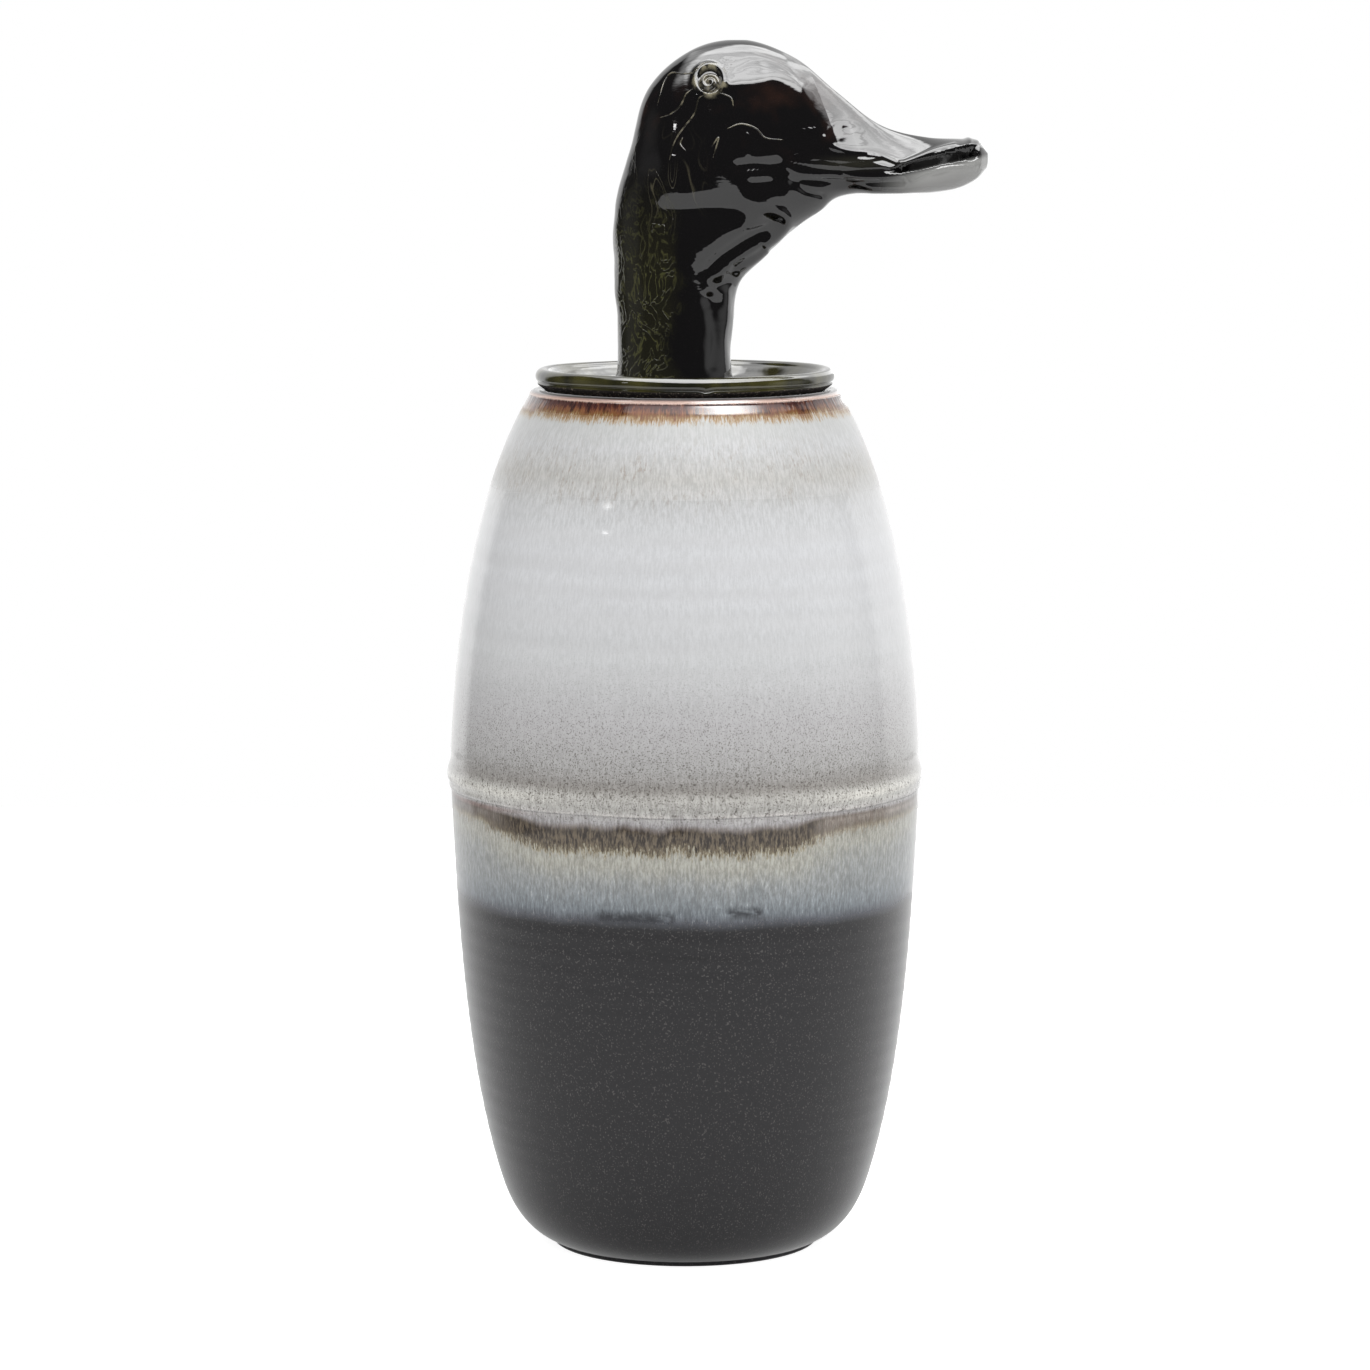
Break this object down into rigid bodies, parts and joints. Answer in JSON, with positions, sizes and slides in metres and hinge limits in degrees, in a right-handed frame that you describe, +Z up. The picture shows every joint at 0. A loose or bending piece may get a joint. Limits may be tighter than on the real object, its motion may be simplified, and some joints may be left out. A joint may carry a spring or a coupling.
{
  "type": "lidded jar",
  "caption": "Barrel-shaped stoneware jar with a raised ridge at its middle and a saucer lid whose handle is a duck's head and neck.",
  "frame": {"origin": "middle of the foot's flat underside, on the jar's axis", "axes": "+Z up along the jar's axis, +X the way the duck's bill points"},
  "size_m": [0.1798, 0.1592, 0.4021],
  "materials": {
    "charcoal_clay": "matte charcoal, fine speckle, pale glaze above",
    "pale_glaze": "satin pale grey-white with brown streaks at the rim",
    "ridge_glaze": "satin cream over brown streaks",
    "lid_glaze": "glossy olive black",
    "bare_clay": "matte unglazed",
    "duck_glaze": "glossy black breaking to olive and brown",
    "eye_glaze": "glossy black"
  },
  "bodies": {
    "jar": {"jar_lower_section": "charcoal_clay", "jar_upper_section": "pale_glaze", "joint_ridge": "ridge_glaze"},
    "lid_ring": {"lid_flange": "bare_clay"},
    "lid": {"lid_saucer": "lid_glaze", "duck_neck": "duck_glaze", "duck_head": "duck_glaze", "upper_bill": "duck_glaze", "lower_bill": "duck_glaze", "left_eye": "eye_glaze", "right_eye": "eye_glaze"}
  },
  "joints": [
    {"name": "lid_lift", "type": "slide", "parent": "jar", "child": "lid_ring", "axis": [0, 0, 1], "range_m": [0, 0.08]},
    {"name": "lid_turn", "type": "hinge", "parent": "lid_ring", "child": "lid", "pos_m": [0, 0, 0.2873], "axis": [0, 0, 1], "continuous": true}
  ]
}
